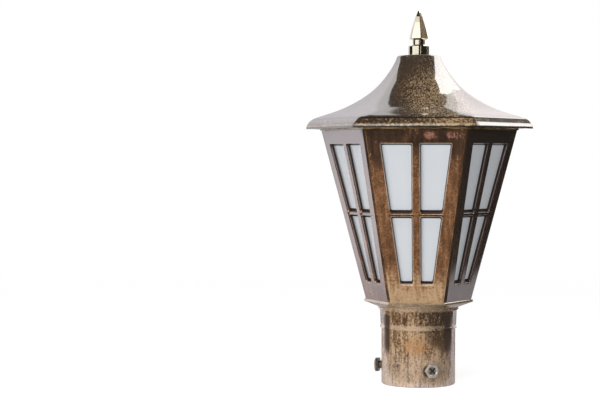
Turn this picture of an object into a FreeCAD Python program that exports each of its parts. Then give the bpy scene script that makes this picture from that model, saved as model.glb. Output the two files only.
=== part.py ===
import FreeCAD, Part
import math
import os

os.makedirs("parts", exist_ok=True)

Vector = FreeCAD.Vector
Rotation = FreeCAD.Rotation
ORIGIN = Vector(0, 0, 0)
ACROSS = Vector(1, 0, 0)
UP = Vector(0, 0, 1)
COS30 = math.cos(math.radians(30))
TAN30 = math.tan(math.radians(30))
ROUND = 0.97                # corner radius, as a share of the reach, at which a hexagon looks round
OVER = 1.0                  # how far a cutting shape reaches past the face that it cuts

# A hexagonal pillar lantern. Millimetres, +Z up, origin at the centre of the collar's bottom rim.
# The front face looks along -Y and two of the lantern's corners lie on the X axis.

# Post socket
POST_DIAMETER = 60.3        # the post that the collar slips over
POST_CLEARANCE = 2.6        # room all round the post, taken up by the set bolts
COLLAR_WALL = 4.25
SOCKET_DEPTH = 70.0
COLLAR_FLOOR = 8.0
COLLAR_BEAD = 1.5           # half the height of the bead under the tapered band
BEAD_HEIGHT = 57.5
BAND_STEP = 1.6             # how far the bead stands out from the tube
BAND_FLARE = 1.9            # how much further the ring at the band's head stands out
TOP_BEAD = 1.7              # half the height of that ring
RIM_CHAMFER = 1.0

# Set bolts
BOLT_COUNT = 3
BOLT_RADIUS = 4.0
BOLT_HEIGHT = 17.5
BOLT_FLATS = 13.0
BOLT_HEAD = 4.2
BOLT_STANDOFF = 3.1         # from the collar to the underside of the head
BOLT_TIP_RECESS = 0.15      # the tip lies this far inside the bore's wall
BOLT_BEARING = 20.5         # degrees from the front towards +X
BOLT_CROWN = 1.1            # height of the chamfer round the head's crown
BOLT_DISH = 1.0             # depth of the dish in the crown
BOLT_SLOT = 1.7             # width of the cross recess
BOLT_SLOT_DEPTH = 2.4
BOLT_POINT = 0.8            # chamfer of the tip
RUNNING_FIT = 0.06          # radial room of a turning or sliding thread

# Lantern body
TRAY_FLOOR = 4.0
TRAY_RIM = 3.0              # from the tray floor to the seat of the side panels
TRAY_EDGE = 0.5             # how far the tray's edge stands out from the panels
TRAY_LIP = 2.4              # height of that edge
TRAY_CORNER = 2.0
BODY_HEIGHT = 169.0
BODY_FOOT_REACH = 54.0      # axis to corner at the foot of the panels
BODY_HEAD_REACH = 99.0      # axis to corner at the head of the panels
BASE_LAP = 0.3              # how far the tray's round underside stands out from the collar

# Side panels and panes
PANEL = 6.0
SEAM = 0.4                  # gap between the mitred edges of neighbouring panels
EDGE_CHAMFER = 0.8
EDGE_BEAD_INSET = 1.2
EDGE_BEAD_WIDTH = 2.2
EDGE_BEAD_RISE = 0.8
EDGE_BEAD_SLOPE = 0.5       # how much the bead narrows on each side
EDGE_BEAD_END = 1.0         # the bead stops this far from the panel's ends
STILE = 13.2
BOTTOM_RAIL = 17.0
TOP_RAIL = 13.6
CROSS_BAR = 2.0             # horizontal glazing bar
CROSS_BAR_SETBACK = 1.0
CENTRE_BAR = 6.8            # upright glazing bar
LOWER_WINDOW = 67.9
SIDE_BEVEL = 1.2            # how much a window narrows towards the glass, at its sides
SILL_BEVEL = 3.6            # the same at its sill, which sheds water
HEAD_BEVEL = 2.4            # and at its head
WINDOW_ROUND = 2.0
PANE = 3.0
PANE_LAP = 4.5              # how far a pane reaches behind the frame
PANE_ROOM = 1.0             # room for the glass to grow, at its head and its sides
UPSTAND = 5.0               # thickness of the walls behind the panels
LIP = 4.0                   # how far those walls lap over the panes

# Roof
RING_FLANGE = 3.0
RING_EDGE = 0.3             # how far the ring stands out from the panels' heads
RING_CORNER = 2.0
RING_LEDGE = 15.0           # width of the ring's flat top
EAVE_OVERHANG = 14.4
EAVE_DROP = 1.5             # the eave hangs this far below the ring's top
FASCIA = 9.0
ROOF_FLARE = 5.0            # how far the eave's lip stands out beyond the roof's foot
ROOF_HEIGHT = 64.0
ROOF_TOP_REACH = 21.8
ROOF_WALL = 3.0
EAVE_CORNER = 4.5
RIB = 3.5
RIB_SEAT = 2.0              # the ribs stop this far inside the ring's inner edge
HEEL_ROOM = 0.5             # between a rib's heel and the ring, and up from the eave's edge
MOUTH_WALL = 2.4            # thickness of the fascia where it meets the roof's foot
BOSS_RADIUS = 9.8
BOSS_HEIGHT = 9.0
# the hip's curve: share of the roof's height, share of its spread
ROOF_CURVE = (
    (0.02, 0.97), (0.10, 0.79), (0.19, 0.61), (0.30, 0.45), (0.42, 0.316),
    (0.555, 0.206), (0.705, 0.114), (0.855, 0.043), (0.985, 0.0),
)
# the fascia's swell: share of the fascia's height, share of the flare
FASCIA_CURVE = ((0.0, 0.94), (0.08, 1.0), (0.22, 0.95), (0.40, 0.82), (0.60, 0.61), (0.80, 0.33), (0.97, 0.0))
BROW = 1.2                  # how far the roof's top edge is rounded off

# Roof fixing
BAR_SEAT = 10.0             # how far the bar lies on the ring
BAR_WIDTH = 20.0
BAR_THICK = 3.0
STUD_RADIUS = 4.0
NUT_FLATS = 13.0
NUT_HEIGHT = 6.5
STUD_TAIL = 9.0
HOLE_ROOM = 0.3             # radial room of a clearance hole

# Finial
RING_RADIUS = 10.5
RING_HEIGHT = 10.1
RING_CHAMFER = 0.7
NECK_RADIUS = 6.2
NECK_HEIGHT = 5.6
NECK_FILLET = 0.9
SPEAR_REACH = 10.1
SPEAR_HEIGHT = 29.3
SPEAR_BEARING = -17.0       # degrees that the spear is turned by
THREAD_DEPTH = 24.0
# the spear's edge: share of its height, share of its reach
SPEAR_CURVE = (
    (0.0, 0.66), (0.05, 1.0), (0.17, 0.91), (0.38, 0.76), (0.6, 0.56), (0.8, 0.36), (0.93, 0.2), (1.0, 0.08),
)

# Cable entry and terminals
CABLE_HOLE = 11.0
GROMMET_WALL = 4.5
GROMMET_FLANGE = 2.5
GROMMET_LAP = 2.5
PRESS_FIT = 0.1
POLES = 3
POLE = 10.0                 # pitch of the terminals
POLE_BARRIER = 0.8          # width of a terminal's tower as a share of the pitch
TERMINAL_DEPTH = 13.0
TERMINAL_BASE = 7.0
TERMINAL_HEIGHT = 12.0
WIRE_WAY = 2.0
TRAY_ROOM = 2.0             # room between the tray's wall and what stands on its floor

# Lampholder and bulb
STRAP = 2.0
STRAP_WIDTH = 14.0
STRAP_RISE = 16.0
STRAP_FOOT = 11.0
NIPPLE_RADIUS = 5.0
NIPPLE_BORE = 3.0
NIPPLE_GRIP = 9.0           # how far the nipple is screwed into the holder
NIPPLE_NUT = 4.5            # height of the nipple's nut
HOLDER_RADIUS = 19.0
HOLDER_HEIGHT = 44.0
HOLDER_FLOOR = 12.0
HOLDER_FOOT_TAPER = 3.0
HOLDER_RIM = 5.0            # height of the rim round the holder's mouth
HOLDER_RIM_STEP = 1.5       # how far the rim stands out
HOLDER_RIM_CHAMFER = 1.0
SHELL_RADIUS = 14.0
SHELL_WALL = 0.5
SHELL_HOLE = 8.4            # radius of the hole in the shell's floor
SHELL_RECESS = 2.0          # the shell stops this far below the holder's mouth
CONTACT_RADIUS = 5.6
CONTACT_TIP = 2.8
CONTACT_BASE = 1.0
CAP_RADIUS = 13.1
CAP_TIP_RADIUS = 4.6
CAP_TAPER = 5.0
CAP_SHOW = 1.0              # how much of the cap shows above the holder
NECK_FLARE = 1.5
BULB_WAIST = 21.6           # radius half way up the globe's neck
BULB_RADIUS = 30.0
BULB_HEIGHT = 108.0
BULB_GLASS = 1.0
CONTACT_HEIGHT = 3.0

# Small screws
SCREW_RADIUS = 2.0
SCREW_HEAD_RADIUS = 3.8
SCREW_HEAD = 2.4
SCREW_GRIP = 4.0            # depth of thread in the piece it holds on to

# Heights and angles that follow
BORE_RADIUS = POST_DIAMETER / 2 + POST_CLEARANCE
TUBE_RADIUS = BORE_RADIUS + COLLAR_WALL
COLLAR_TOP = SOCKET_DEPTH + COLLAR_FLOOR
TRAY_TOP = COLLAR_TOP + TRAY_FLOOR
BODY_FOOT = TRAY_TOP + TRAY_RIM
BODY_HEAD = BODY_FOOT + BODY_HEIGHT
RING_TOP = BODY_HEAD + RING_FLANGE
EAVE = RING_TOP - EAVE_DROP
ROOF_FOOT = EAVE + FASCIA
ROOF_TOP = ROOF_FOOT + ROOF_HEIGHT
EAVE_REACH = BODY_HEAD_REACH + EAVE_OVERHANG
ROOF_FOOT_REACH = EAVE_REACH - ROOF_FLARE
FOOT_APOTHEM = BODY_FOOT_REACH * COS30
HEAD_APOTHEM = BODY_HEAD_REACH * COS30
TILT = math.atan2(HEAD_APOTHEM - FOOT_APOTHEM, BODY_HEIGHT)
WALL_BACK = PANEL + UPSTAND
PANE_FOOT = BODY_FOOT + BOTTOM_RAIL - PANE_LAP
PANE_HEAD = BODY_HEAD - TOP_RAIL + PANE_LAP


def save(name, *solids):
    shape = solids[0] if len(solids) == 1 else Part.makeCompound(list(solids))
    shape.exportStep("parts/" + name + ".step")


def turned(*steps):
    """Solid of revolution about Z; a step is a point (r, z), or a middle and an end point of an arc."""
    edges = []
    here = start = steps[0]
    for step in steps[1:] + (start,):
        if isinstance(step[0], tuple):
            middle, end = step
            points = [Vector(r, 0, z) for r, z in (here, middle, end)]
            edges.append(Part.Arc(*points).toShape())
        else:
            end = step
            edges.append(Part.makeLine(Vector(here[0], 0, here[1]), Vector(end[0], 0, end[1])))
        here = end
    return Part.Face(Part.Wire(edges)).revolve(ORIGIN, UP, 360)


def hexagon(reach, corner, z, turn=0.0):
    """Wire of six sides joined by arcs; reach runs from the axis to a rounded corner."""
    centre = reach - corner
    edges = []
    ends = []
    for k in range(6):
        bearing = math.radians(60 * k + turn)
        hub = Vector(centre * math.cos(bearing), centre * math.sin(bearing), z)
        points = []
        for swing in (-30, 0, 30):
            angle = bearing + math.radians(swing)
            points.append(hub + Vector(math.cos(angle), math.sin(angle), 0) * corner)
        edges.append(Part.Arc(*points).toShape())
        ends.append((points[0], points[2]))
    sides = [Part.makeLine(ends[k][1], ends[(k + 1) % 6][0]) for k in range(6)]
    loop = [edge for pair in zip(edges, sides) for edge in pair]
    return Part.Wire(loop)


def loft(sections, ruled):
    return Part.makeLoft([hexagon(*section) for section in sections], True, ruled)


def block(front, back):
    """Solid between two flat outlines with the same number of corners."""
    count = len(front)
    faces = [front, back[::-1]]
    for k in range(count):
        n = (k + 1) % count
        faces.append([front[n], front[k], back[k], back[n]])
    shell = Part.Shell([Part.Face(Part.makePolygon(ring + [ring[0]])) for ring in faces])
    solid = Part.Solid(shell)
    if solid.Volume < 0:
        solid.reverse()
    return solid


def apothem(z, depth):
    """Axis to the flat of the lantern's body at height z, measured on a face that lies depth inside it."""
    return FOOT_APOTHEM + (z - BODY_FOOT) * math.tan(TILT) - depth / math.cos(TILT)


def frustum(depth, low, high):
    """Six-sided solid whose faces run parallel to the side panels, depth inside their outer faces."""
    rings = []
    for z in (low, high):
        reach = apothem(z, depth) / COS30
        ring = []
        for k in range(6):
            angle = math.radians(60 * k)
            ring.append(Vector(reach * math.cos(angle), reach * math.sin(angle), z))
        rings.append(ring)
    return block(rings[1], rings[0])


def stand(shape, k):
    """Moves a shape drawn flat on a panel (x across, y up the slope, z outwards) to face k."""
    placed = shape.copy()
    foot = FreeCAD.Placement(Vector(0, -FOOT_APOTHEM, BODY_FOOT),
                             Rotation(ACROSS, 90 + math.degrees(TILT)))
    placed.Placement = foot.multiply(shape.Placement)
    placed.rotate(ORIGIN, UP, 60 * k)
    return placed


def slope(z, depth=0.0):
    """Distance up the slope of a panel to height z, at a depth behind its outer face."""
    return (z - BODY_FOOT - depth * math.sin(TILT)) / math.cos(TILT)


def half_width(v, depth=0.0):
    return (FOOT_APOTHEM + v * math.sin(TILT) - depth * math.cos(TILT)) * TAN30


def rod(radius, low, high):
    return Part.makeCylinder(radius, high - low, Vector(0, 0, low))


def hex_rod(flats, low, high):
    reach = flats / 2 / COS30
    ring = []
    for k in range(6):
        angle = math.radians(60 * k)
        ring.append(Vector(reach * math.cos(angle), reach * math.sin(angle), low))
    return Part.Face(Part.makePolygon(ring + [ring[0]])).extrude(Vector(0, 0, high - low))


def screw(length):
    """Cheese-head screw with its head's underside at the origin and its shank pointing down."""
    return turned((0, -length), (SCREW_RADIUS, -length), (SCREW_RADIUS, 0), (SCREW_HEAD_RADIUS, 0),
                  (SCREW_HEAD_RADIUS, SCREW_HEAD), (0, SCREW_HEAD))


def drill(length, radius=SCREW_RADIUS + RUNNING_FIT):
    return rod(radius, -length, OVER)


def at(shape, x, y, z):
    moved = shape.copy()
    moved.translate(Vector(x, y, z))
    return moved


# Collar: a cast tube with a bead, a tapered band and a ring under the tray. The post stops against its floor.
band_foot = TUBE_RADIUS + BAND_STEP
band_head = band_foot + BAND_FLARE
top_bead_z = COLLAR_TOP - TOP_BEAD
collar = turned(
    (0, SOCKET_DEPTH), (BORE_RADIUS, SOCKET_DEPTH), (BORE_RADIUS, 0), (TUBE_RADIUS - RIM_CHAMFER, 0),
    (TUBE_RADIUS, RIM_CHAMFER), (TUBE_RADIUS, BEAD_HEIGHT - COLLAR_BEAD),
    (band_foot, BEAD_HEIGHT - COLLAR_BEAD / 2), (band_foot, BEAD_HEIGHT + COLLAR_BEAD / 2),
    (band_foot - BAND_STEP / 2, BEAD_HEIGHT + COLLAR_BEAD), (band_head - TOP_BEAD, top_bead_z - TOP_BEAD),
    (band_head, top_bead_z - TOP_BEAD / 2), (band_head, top_bead_z + TOP_BEAD / 2),
    (band_head - TOP_BEAD / 2, COLLAR_TOP), (0, COLLAR_TOP),
)
bolt_bearings = [BOLT_BEARING - 90 + 360 / BOLT_COUNT * k for k in range(BOLT_COUNT)]
for bearing in bolt_bearings:
    bolt_hole = Part.makeCylinder(BOLT_RADIUS + RUNNING_FIT, TUBE_RADIUS,
                                  Vector(BORE_RADIUS / 2, 0, BOLT_HEIGHT), ACROSS)
    bolt_hole.rotate(ORIGIN, UP, bearing)
    collar = collar.cut(bolt_hole)

# Base tray: round where it sits on the collar, hexagonal where it carries the panels. A wall stands up
# behind the panels' feet, and a lip on the wall holds the panes.
tray_reach = BODY_FOOT_REACH + TRAY_EDGE
base_reach = band_head + BASE_LAP
tray = loft([
    (base_reach, ROUND * base_reach, COLLAR_TOP), (tray_reach, TRAY_CORNER, BODY_FOOT - TRAY_LIP),
    (tray_reach, TRAY_CORNER, BODY_FOOT - TRAY_EDGE), (tray_reach - TRAY_EDGE, TRAY_CORNER, BODY_FOOT),
], True)
lip_top = PANE_FOOT + LIP
tray = tray.fuse(frustum(PANEL, TRAY_TOP, PANE_FOOT))
tray = tray.fuse(frustum(PANEL + PANE, PANE_FOOT - OVER, lip_top))
tray = tray.cut(frustum(WALL_BACK, TRAY_TOP, lip_top + OVER))

# Cable hole through the tray and the collar's floor, lined by a rubber grommet with a flange on the tray.
cable_hole = rod(CABLE_HOLE, 0.5 * SOCKET_DEPTH, BODY_FOOT)
collar = collar.cut(cable_hole)
tray = tray.cut(cable_hole)
grommet_radius = CABLE_HOLE - PRESS_FIT
grommet_bore = CABLE_HOLE - GROMMET_WALL
grommet_top = TRAY_TOP + GROMMET_FLANGE
grommet = turned(
    (grommet_bore, SOCKET_DEPTH), (grommet_radius, SOCKET_DEPTH),
    (grommet_radius, TRAY_TOP), (CABLE_HOLE + GROMMET_LAP, TRAY_TOP), (CABLE_HOLE + GROMMET_LAP, grommet_top),
    (grommet_bore, grommet_top),
)
save("cable_grommet", grommet)

# Screws that hold the tray to the collar.
tray_apothem = apothem(TRAY_TOP, WALL_BACK)
collar_screw_circle = tray_apothem - SCREW_HEAD_RADIUS - 2 * TRAY_ROOM
collar_screw = screw(TRAY_FLOOR + SCREW_GRIP)
collar_screws = []
for bearing in (90, 210, 330):
    x = collar_screw_circle * math.cos(math.radians(bearing))
    y = collar_screw_circle * math.sin(math.radians(bearing))
    collar_screws.append(at(collar_screw, x, y, TRAY_TOP))
    hole = at(drill(TRAY_FLOOR + SCREW_GRIP + OVER), x, y, TRAY_TOP)
    tray = tray.cut(hole)
    collar = collar.cut(hole)
save("collar_screws", *collar_screws)

# Lampholder strap: a steel hat that stands on the tray and leaves room for the cable below.
strap_top = TRAY_TOP + STRAP_RISE
foot_end = tray_apothem / COS30 - STRAP_WIDTH / 2 * TAN30 - TRAY_ROOM
leg = foot_end - STRAP_FOOT
half_outline = [(leg - STRAP, STRAP_RISE - STRAP), (leg - STRAP, 0), (foot_end, 0), (foot_end, STRAP),
                (leg, STRAP), (leg, STRAP_RISE)]
strap_outline = half_outline + [(-x, z) for x, z in half_outline[::-1]]
ring = [Vector(x, STRAP_WIDTH / 2, TRAY_TOP + z) for x, z in strap_outline]
strap = Part.Face(Part.makePolygon(ring + [ring[0]])).extrude(Vector(0, -STRAP_WIDTH, 0))
strap = strap.cut(rod(NIPPLE_RADIUS + HOLE_ROOM, TRAY_TOP + STRAP, strap_top + OVER))
strap_screw = screw(STRAP + TRAY_FLOOR + SCREW_GRIP)
strap_screws = []
for side in (-1, 1):
    x = side * (leg + STRAP_FOOT / 2)
    strap_screws.append(at(strap_screw, x, 0, TRAY_TOP + STRAP))
    hole = at(drill(STRAP + TRAY_FLOOR + SCREW_GRIP + OVER), x, 0, TRAY_TOP + STRAP)
    strap = strap.cut(hole)
    tray = tray.cut(hole)
    collar = collar.cut(hole)
save("holder_bracket", strap)
save("bracket_screws", *strap_screws)

# Hollow nipple and its nut, which fix the lampholder to the strap.
nipple_top = strap_top + NIPPLE_GRIP
strap_under = strap_top - STRAP
nipple_foot = strap_under - NUT_HEIGHT
nipple = rod(NIPPLE_RADIUS, nipple_foot, nipple_top)
nipple = nipple.cut(rod(NIPPLE_BORE, nipple_foot - OVER, nipple_top + OVER))
nipple_nut = hex_rod(NUT_FLATS, strap_under - NIPPLE_NUT, strap_under)
nipple_nut = nipple_nut.cut(rod(NIPPLE_RADIUS + RUNNING_FIT, nipple_foot - OVER, strap_top))
save("holder_nipple", nipple)
save("nipple_nut", nipple_nut)

# Lampholder: porcelain body, brass shell and centre contact.
holder_top = strap_top + HOLDER_HEIGHT
shell_floor = strap_top + HOLDER_FLOOR
rim_radius = HOLDER_RADIUS + HOLDER_RIM_STEP
mouth_radius = SHELL_RADIUS + HOLE_ROOM
holder = turned(
    (0, strap_top), (HOLDER_RADIUS - HOLDER_FOOT_TAPER, strap_top),
    (HOLDER_RADIUS, strap_top + 2 * HOLDER_FOOT_TAPER),
    (HOLDER_RADIUS, holder_top - HOLDER_RIM - HOLDER_RIM_CHAMFER), (rim_radius, holder_top - HOLDER_RIM),
    (rim_radius, holder_top - HOLDER_RIM_CHAMFER), (rim_radius - HOLDER_RIM_CHAMFER, holder_top),
    (mouth_radius, holder_top), (mouth_radius, shell_floor), (0, shell_floor),
)
holder = holder.cut(rod(NIPPLE_RADIUS + RUNNING_FIT, strap_top - OVER, nipple_top + HOLE_ROOM))
shell_inside = SHELL_RADIUS - SHELL_WALL
shell_top = holder_top - SHELL_RECESS
holder_shell = turned(
    (shell_inside, shell_floor + SHELL_WALL), (shell_inside, shell_top), (SHELL_RADIUS, shell_top),
    (SHELL_RADIUS, shell_floor), (SHELL_HOLE, shell_floor), (SHELL_HOLE, shell_floor + SHELL_WALL),
)
contact_top = shell_floor + CONTACT_HEIGHT
contact = turned((0, shell_floor), (CONTACT_RADIUS, shell_floor),
                 (CONTACT_RADIUS, shell_floor + CONTACT_BASE), (CONTACT_TIP, contact_top), (0, contact_top))
save("holder_body", holder)
save("holder_shell", holder_shell)
save("holder_contact", contact)

# Bulb: screw cap in the shell and a hollow glass globe above it, one sealed piece.
cap_top = holder_top + CAP_SHOW
bulb_top = contact_top + BULB_HEIGHT
globe = bulb_top - BULB_RADIUS


def globe_outline(inset):
    """From the neck over the widest part of the globe to its top, inset from the outer surface."""
    radius = BULB_RADIUS - inset
    swing = radius * math.sqrt(0.5)
    return ((CAP_RADIUS + NECK_FLARE - inset, cap_top + NECK_FLARE),
            ((BULB_WAIST - inset, (cap_top + globe) / 2), (radius, globe)),
            ((swing, globe + swing), (0, bulb_top - inset)))


bulb = turned((0, contact_top), (CAP_TIP_RADIUS, contact_top), (CAP_RADIUS, contact_top + CAP_TAPER),
              (CAP_RADIUS, cap_top), *globe_outline(0.0))
bulb = bulb.cut(turned((0, cap_top + NECK_FLARE), *globe_outline(BULB_GLASS)))
save("bulb", bulb)

# Terminal block for the supply cable: a moulded base with a tower and a wire way for each pole.
block_back = TRAY_ROOM - tray_apothem
block_width = POLES * POLE
terminal = Part.makeBox(block_width, TERMINAL_DEPTH, TERMINAL_BASE,
                        Vector(-block_width / 2, block_back, TRAY_TOP))
for k in range(POLES):
    x = (k - (POLES - 1) / 2) * POLE
    tower = Part.makeBox(POLE_BARRIER * POLE, TERMINAL_DEPTH, TERMINAL_HEIGHT,
                         Vector(x - POLE_BARRIER * POLE / 2, block_back, TRAY_TOP))
    wire_way = Part.makeCylinder(WIRE_WAY, TERMINAL_DEPTH, Vector(x, block_back, TRAY_TOP + 2 * WIRE_WAY),
                                 Vector(0, 1, 0))
    terminal = terminal.fuse(tower).cut(wire_way)
save("terminal_block", terminal.removeSplitter())

# Side panel, drawn flat: mitred edges, a bead along each slanting edge and two rows of bevelled windows.


def panel_outline(depth):
    """Corners of a panel at a depth behind its outer face; its foot and head are level when it stands."""
    foot = slope(BODY_FOOT, depth)
    head = slope(BODY_HEAD, depth)
    foot_half = half_width(foot, depth) - SEAM / 2
    head_half = half_width(head, depth) - SEAM / 2
    return [Vector(-foot_half, foot, -depth), Vector(foot_half, foot, -depth),
            Vector(head_half, head, -depth), Vector(-head_half, head, -depth)]


panel = block(panel_outline(0.0), panel_outline(PANEL))
outer_edges = []
for edge in panel.Edges:
    first, last = [vertex.Point for vertex in edge.Vertexes]
    if abs(first.z) < 0.01 and abs(last.z) < 0.01 and abs(last.y - first.y) > 1.0:
        outer_edges.append(edge)
panel = panel.makeChamfer(EDGE_CHAMFER, outer_edges)

bead_foot = slope(BODY_FOOT) + EDGE_BEAD_END
bead_head = slope(BODY_HEAD) - EDGE_BEAD_END
bead_outer = SEAM / 2 + EDGE_BEAD_INSET
bead_inner = bead_outer + EDGE_BEAD_WIDTH
bead_back = []
bead_front = []
for z, narrow, ring in ((-EDGE_BEAD_SLOPE, 0.0, bead_back), (EDGE_BEAD_RISE, EDGE_BEAD_SLOPE, bead_front)):
    ring.append(Vector(half_width(bead_foot) - bead_inner + narrow, bead_foot, z))
    ring.append(Vector(half_width(bead_foot) - bead_outer - narrow, bead_foot, z))
    ring.append(Vector(half_width(bead_head) - bead_outer - narrow, bead_head, z))
    ring.append(Vector(half_width(bead_head) - bead_inner + narrow, bead_head, z))
bead = block(bead_front, bead_back)
panel = panel.fuse([bead, bead.mirror(ORIGIN, ACROSS)])

lower_sill = BODY_FOOT + BOTTOM_RAIL
lower_head = lower_sill + LOWER_WINDOW
upper_sill = lower_head + CROSS_BAR
upper_head = BODY_HEAD - TOP_RAIL
for sill, head in ((lower_sill, lower_head), (upper_sill, upper_head)):
    rings = []
    for depth in (-OVER, PANEL + OVER):
        share = depth / PANEL
        bottom = slope(sill) + share * SILL_BEVEL
        top = slope(head) - share * HEAD_BEVEL
        inner = CENTRE_BAR / 2 + share * SIDE_BEVEL
        outer = STILE + share * SIDE_BEVEL
        rings.append([Vector(inner, bottom, -depth), Vector(half_width(bottom) - outer, bottom, -depth),
                      Vector(half_width(top) - outer, top, -depth), Vector(inner, top, -depth)])
    window = block(rings[0], rings[1])
    through = [edge for edge in window.Edges if abs(edge.Vertexes[0].Z - edge.Vertexes[1].Z) > PANEL]
    window = window.makeFillet(WINDOW_ROUND, through)
    panel = panel.cut([window, window.mirror(ORIGIN, ACROSS)])
bar_foot = slope(lower_head) - 1.2 * WINDOW_ROUND
bar_head = slope(upper_sill) + 1.2 * WINDOW_ROUND
setback_rings = []
for z in (OVER, -CROSS_BAR_SETBACK):
    setback_rings.append([Vector(CENTRE_BAR / 2, bar_foot, z),
                          Vector(half_width(bar_foot) - STILE, bar_foot, z),
                          Vector(half_width(bar_head) - STILE, bar_head, z),
                          Vector(CENTRE_BAR / 2, bar_head, z)])
setback = block(setback_rings[0], setback_rings[1])
panel = panel.cut([setback, setback.mirror(ORIGIN, ACROSS)])

# The screws behind each panel stand square to it, one at the foot and one at the head.
foot_screw_v = slope(BODY_FOOT + 0.5 * (BOTTOM_RAIL - PANE_LAP), WALL_BACK)
head_screw_v = slope(BODY_HEAD - 0.5 * (TOP_RAIL - PANE_LAP), WALL_BACK)
panel_screw = screw(UPSTAND + SCREW_GRIP)
panel_screw.rotate(ORIGIN, ACROSS, 180)
panel_drill = drill(UPSTAND + SCREW_GRIP + HOLE_ROOM)
panel_drill.rotate(ORIGIN, ACROSS, 180)
foot_screw = at(panel_screw, 0, foot_screw_v, -WALL_BACK)
head_screw = at(panel_screw, 0, head_screw_v, -WALL_BACK)
foot_drill = at(panel_drill, 0, foot_screw_v, -WALL_BACK)
head_drill = at(panel_drill, 0, head_screw_v, -WALL_BACK)
panel = panel.cut([foot_drill, head_drill])

# Frosted pane behind each panel: it stands on the tray's wall, and the ring's skirt holds its head.
pane_rings = []
for depth in (PANEL, PANEL + PANE):
    bottom = slope(PANE_FOOT, PANEL)
    top = slope(PANE_HEAD, PANEL)
    rims = [half_width(v, PANEL + PANE) - PANE_ROOM for v in (bottom, top)]
    pane_rings.append([Vector(-rims[0], bottom, -depth), Vector(rims[0], bottom, -depth),
                       Vector(rims[1], top, -depth), Vector(-rims[1], top, -depth)])
pane = block(pane_rings[0], pane_rings[1])

# Top ring: flat flange on the panels' heads, skirt behind them and a lip behind the panes.
skirt_foot = PANE_HEAD + PANE_ROOM
ring_reach = BODY_HEAD_REACH + RING_EDGE
ring_inner = (apothem(BODY_HEAD, 0.0) - RING_LEDGE) / COS30
top_ring = loft([(ring_reach, RING_CORNER, BODY_HEAD), (ring_reach, RING_CORNER, RING_TOP)], True)
top_ring = top_ring.fuse(frustum(PANEL, skirt_foot, BODY_HEAD))
top_ring = top_ring.fuse(frustum(PANEL + PANE, PANE_HEAD - LIP, skirt_foot + OVER))
top_ring = top_ring.cut(frustum(WALL_BACK, PANE_HEAD - LIP - OVER, BODY_HEAD))
ring_hole = loft([(ring_inner, RING_CORNER, BODY_HEAD - OVER),
                  (ring_inner, RING_CORNER, RING_TOP + OVER)], True)
top_ring = top_ring.cut(ring_hole)

tray_screws = []
ring_screws = []
for k in range(6):
    save("side_panel_" + str(k + 1), stand(panel, k))
    save("glass_pane_" + str(k + 1), stand(pane, k))
    tray_screws.append(stand(foot_screw, k))
    ring_screws.append(stand(head_screw, k))
    tray = tray.cut(stand(foot_drill, k))
    top_ring = top_ring.cut(stand(head_drill, k))
save("tray_screws", *tray_screws)
save("ring_screws", *ring_screws)
save("collar", collar)
save("base_tray", tray)

# Bridge bar across the ring, with a screw at each end, and the stud that holds the roof down.
bar_half = apothem(BODY_HEAD, 0.0) - RING_LEDGE + BAR_SEAT
bar_top = RING_TOP + BAR_THICK
bridge = Part.makeBox(BAR_WIDTH, 2 * bar_half, BAR_THICK, Vector(-BAR_WIDTH / 2, -bar_half, RING_TOP))
bridge = bridge.cut(rod(STUD_RADIUS + HOLE_ROOM, RING_TOP - OVER, bar_top + OVER))
bridge_screw = screw(BAR_THICK + RING_FLANGE)
bridge_screws = []
for side in (-1, 1):
    y = side * (bar_half - BAR_SEAT / 2)
    bridge_screws.append(at(bridge_screw, 0, y, bar_top))
    hole = at(drill(BAR_THICK + RING_FLANGE + OVER), 0, y, bar_top)
    bridge = bridge.cut(hole)
    top_ring = top_ring.cut(hole)
save("top_ring", top_ring)
save("bridge_bar", bridge)
save("bridge_screws", *bridge_screws)

stud = rod(STUD_RADIUS, RING_TOP - STUD_TAIL, ROOF_TOP + 0.85 * THREAD_DEPTH)
stud_nuts = []
for low in (RING_TOP - NUT_HEIGHT, bar_top):
    nut = hex_rod(NUT_FLATS, low, low + NUT_HEIGHT)
    stud_nuts.append(nut.cut(rod(STUD_RADIUS + RUNNING_FIT, low - OVER, low + NUT_HEIGHT + OVER)))
save("roof_stud", stud)
save("stud_nuts", *stud_nuts)

# Roof: a hollow casting that spreads like a trumpet from a round top to a hexagonal eave, which ends in a
# fascia that swells out to a lip. Six ribs under its hips stand on the top ring, and their heels keep it
# centred.


def roof_section(share, spread, down=0.0, thinner=0.0):
    reach = ROOF_TOP_REACH + spread * (ROOF_FOOT_REACH - ROOF_TOP_REACH)
    corner = EAVE_CORNER + (ROUND * reach - EAVE_CORNER) * share ** 0.7
    return (reach - thinner, min(corner, ROUND * (reach - thinner)), ROOF_FOOT + share * ROOF_HEIGHT - down)


def fascia_section(rise, share):
    """A level of the fascia: share of its height, share of the flare."""
    return (ROOF_FOOT_REACH + share * ROOF_FLARE, EAVE_CORNER, EAVE + rise * FASCIA)


bell = loft([roof_section(*point) for point in ROOF_CURVE], False)
last_reach, last_corner, last_z = roof_section(*ROOF_CURVE[-1])
brow = loft([(last_reach, last_corner, last_z),
             (last_reach - BROW / 3, last_corner - BROW / 3, 0.6 * ROOF_TOP + 0.4 * last_z),
             (last_reach - BROW, last_corner - BROW, ROOF_TOP)], True)
swell = loft([fascia_section(*point) for point in FASCIA_CURVE], False)
shoulder = loft([fascia_section(*FASCIA_CURVE[-1]), roof_section(*ROOF_CURVE[0])], True)
roof_solid = bell.fuse([brow, swell, shoulder])

inner_sections = [roof_section(*ROOF_CURVE[k], ROOF_WALL, ROOF_WALL) for k in (0, 2, 4, 6, 8)]
first_reach, first_corner, first_z = inner_sections[0]
hollow = loft(inner_sections, True)
mouth = loft([(EAVE_REACH - ROOF_FLARE - MOUTH_WALL, EAVE_CORNER, EAVE - OVER),
              (first_reach, first_corner, first_z)], True)
roof = roof_solid.cut([hollow, mouth])

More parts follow.
